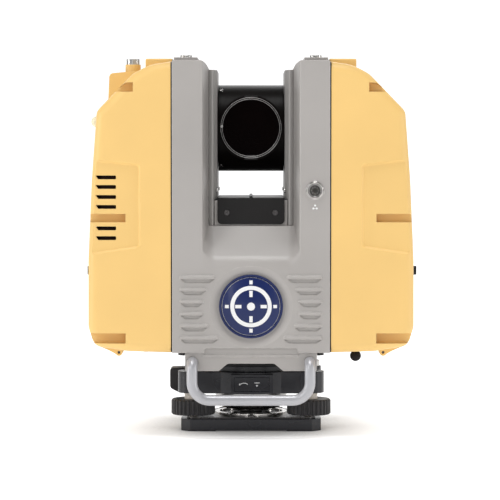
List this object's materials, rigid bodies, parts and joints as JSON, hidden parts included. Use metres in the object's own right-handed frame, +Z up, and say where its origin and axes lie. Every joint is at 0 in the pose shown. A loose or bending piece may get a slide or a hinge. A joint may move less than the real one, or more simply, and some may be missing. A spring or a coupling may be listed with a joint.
{
  "type": "terrestrial laser scanner",
  "caption": "Tripod laser scanner with a spinning mirror drum between two towers, yellow side covers with battery doors, and a three-screw levelling base.",
  "frame": {"origin": "mouth of the tripod thread, at the underside of the base plate, on the azimuth axis", "axes": "+Z up along the azimuth axis, -Y towards the front with the round emblem, +X to the right seen from the front along the mirror's spin axis"},
  "size_m": [0.2995, 0.2276, 0.3461],
  "materials": {
    "black_anodised": "black anodised, satin",
    "steel_bright": "polished",
    "cream_sleeve": "smooth moulded sleeve on a steel screw",
    "knob_black": "moulded, knurled rim",
    "brass": "machined",
    "yellow_shell": "fine moulded texture, warm yellow",
    "gray_shell": "fine textured warm gray paint",
    "gray_liner": "fine textured warm gray paint",
    "dark_plate": "satin black",
    "drum_black": "matte black",
    "window_glass": "dark coated",
    "mirror_coat": "coated front surface",
    "navy_emblem": "domed clear resin over navy, dark rim",
    "bar_silver": "satin anodised",
    "machined": "machined",
    "rubber_black": "matte",
    "board_green": "coated circuit board",
    "pack_gray": "moulded",
    "key_gray": "soft touch",
    "screen_black": "display window",
    "lamp_lens": "translucent lens",
    "steel_plain": "plain",
    "steel_dark": "dark oxide, satin",
    "bowl_dark": "polished black nickel",
    "mark_white": "printed",
    "filter_foam": "open foam",
    "cast_gray": "cast"
  },
  "bodies": {
    "base": {"base_plate": "black_anodised", "tripod_thread_insert": "steel_plain", "spring_plate": "steel_dark", "spring_ring": "steel_bright"},
    "left_foot_screw": {"foot_screw_spindle_left": "cream_sleeve", "foot_screw_knob_left": "knob_black"},
    "right_foot_screw": {"foot_screw_spindle_right": "cream_sleeve", "foot_screw_knob_right": "knob_black"},
    "rear_foot_screw": {"foot_screw_spindle_rear": "cream_sleeve", "foot_screw_knob_rear": "knob_black"},
    "head": {"tribrach_head": "black_anodised", "foot_screw_bushes": "brass", "lock_label_plate": "black_anodised", "head_bowl": "bowl_dark", "circular_level": "machined", "base_adapter": "black_anodised", "azimuth_spindle": "steel_plain", "azimuth_ring_gear": "brass"},
    "lever": {"lock_lever": "knob_black"},
    "alidade": {"drive_motors": "steel_plain", "chassis": "cast_gray", "bottom_pan": "dark_plate", "front_cover": "gray_shell", "rear_cover": "gray_shell", "tower_liners": "gray_liner", "gap_plate": "dark_plate", "emblem_disc": "navy_emblem", "data_connector": "steel_bright", "mounting_seats": "machined", "carry_bars": "bar_silver", "bearings": "steel_bright", "laser_optics": "dark_plate", "circuit_boards": "board_green", "left_cover": "yellow_shell", "status_lamp_lens": "lamp_lens", "right_cover": "yellow_shell", "display_glass": "screen_black", "screws_and_hinge_pins": "steel_dark", "foam_seals_and_filters": "filter_foam", "cover_screw_caps": "yellow_shell", "battery_trays": "dark_plate", "battery_packs": "pack_gray", "fan_frame": "dark_plate", "rubber_buffers": "rubber_black"},
    "pinion": {"azimuth_pinion": "brass"},
    "mirror": {"mirror_drum": "drum_black", "drum_screws": "steel_bright", "window_ring": "dark_plate", "window_glass": "window_glass", "scan_mirror": "mirror_coat", "mirror_axle": "steel_plain"},
    "fan": {"fan_rotor": "dark_plate"},
    "left_door": {"left_battery_door": "yellow_shell"},
    "right_door": {"right_battery_door": "yellow_shell"},
    "left_latch": {"left_door_latch": "dark_plate"},
    "right_latch": {"right_door_latch": "dark_plate"},
    "power_button": {"power_key": "key_gray"},
    "menu_button": {"menu_key": "key_gray"},
    "start_button": {"start_key": "key_gray"},
    "media_hatch": {"media_door": "gray_shell"}
  },
  "joints": [
    {"name": "left_foot_screw_turn", "type": "hinge", "parent": "base", "child": "left_foot_screw", "pos_m": [-0.0536, -0.031, 0.02], "axis": [0, 0, 1], "range_deg": [-1540, 1540]},
    {"name": "right_foot_screw_turn", "type": "hinge", "parent": "base", "child": "right_foot_screw", "pos_m": [0.0536, -0.031, 0.02], "axis": [0, 0, 1], "range_deg": [-1540, 1540]},
    {"name": "rear_foot_screw_turn", "type": "hinge", "parent": "base", "child": "rear_foot_screw", "pos_m": [0, 0.0619, 0.02], "axis": [0, 0, 1], "range_deg": [-1540, 1540]},
    {"name": "head_lift", "type": "slide", "parent": "base", "child": "head", "axis": [0, 0, 1], "range_m": [-0.00299, 0.00299]},
    {"name": "lock_lever_turn", "type": "hinge", "parent": "head", "child": "lever", "pos_m": [0, 0, 0.0488], "axis": [0, 0, 1], "range_deg": [-35, 0]},
    {"name": "azimuth_turn", "type": "hinge", "parent": "head", "child": "alidade", "pos_m": [0, 0, 0.08], "axis": [0, 0, 1], "continuous": true},
    {"name": "azimuth_pinion_spin", "type": "hinge", "parent": "alidade", "child": "pinion", "pos_m": [0, 0.0404, 0.065], "axis": [0, 0, 1], "continuous": true},
    {"name": "mirror_spin", "type": "hinge", "parent": "alidade", "child": "mirror", "pos_m": [0, 0, 0.2795], "axis": [1, 0, 0], "continuous": true},
    {"name": "fan_spin", "type": "hinge", "parent": "alidade", "child": "fan", "pos_m": [-0.135, 0, 0.206], "axis": [1, 0, 0], "continuous": true},
    {"name": "right_door_swing", "type": "hinge", "parent": "alidade", "child": "right_door", "pos_m": [0.1195, 0, 0.0762], "axis": [0, 1, 0], "range_deg": [0, 100]},
    {"name": "left_door_swing", "type": "hinge", "parent": "alidade", "child": "left_door", "pos_m": [-0.1195, 0, 0.0762], "axis": [0, -1, 0], "range_deg": [0, 100]},
    {"name": "right_latch_turn", "type": "hinge", "parent": "right_door", "child": "right_latch", "pos_m": [0.145, -0.066, 0.1496], "axis": [1, 0, 0], "range_deg": [0, 90]},
    {"name": "left_latch_turn", "type": "hinge", "parent": "left_door", "child": "left_latch", "pos_m": [-0.145, -0.066, 0.1496], "axis": [1, 0, 0], "range_deg": [0, 90]},
    {"name": "media_hatch_swing", "type": "hinge", "parent": "alidade", "child": "media_hatch", "pos_m": [0, 0.0984, 0.1022], "axis": [-1, 0, 0], "range_deg": [0, 100]},
    {"name": "power_key_press", "type": "slide", "parent": "alidade", "child": "power_button", "axis": [-1, 0, 0], "range_m": [0, 0.001], "stiffness_N_per_m": 1500, "springref_m": -0.0005},
    {"name": "menu_key_press", "type": "slide", "parent": "alidade", "child": "menu_button", "axis": [-1, 0, 0], "range_m": [0, 0.001], "stiffness_N_per_m": 1500, "springref_m": -0.0005},
    {"name": "start_key_press", "type": "slide", "parent": "alidade", "child": "start_button", "axis": [-1, 0, 0], "range_m": [0, 0.001], "stiffness_N_per_m": 1500, "springref_m": -0.0005}
  ],
  "couplings": [
    {"joint": "left_foot_screw_turn", "follows": "head_lift", "rad_per_m": -8976},
    {"joint": "right_foot_screw_turn", "follows": "head_lift", "rad_per_m": -8976},
    {"joint": "rear_foot_screw_turn", "follows": "head_lift", "rad_per_m": -8976},
    {"joint": "azimuth_pinion_spin", "follows": "azimuth_turn", "ratio": 5.4545}
  ]
}
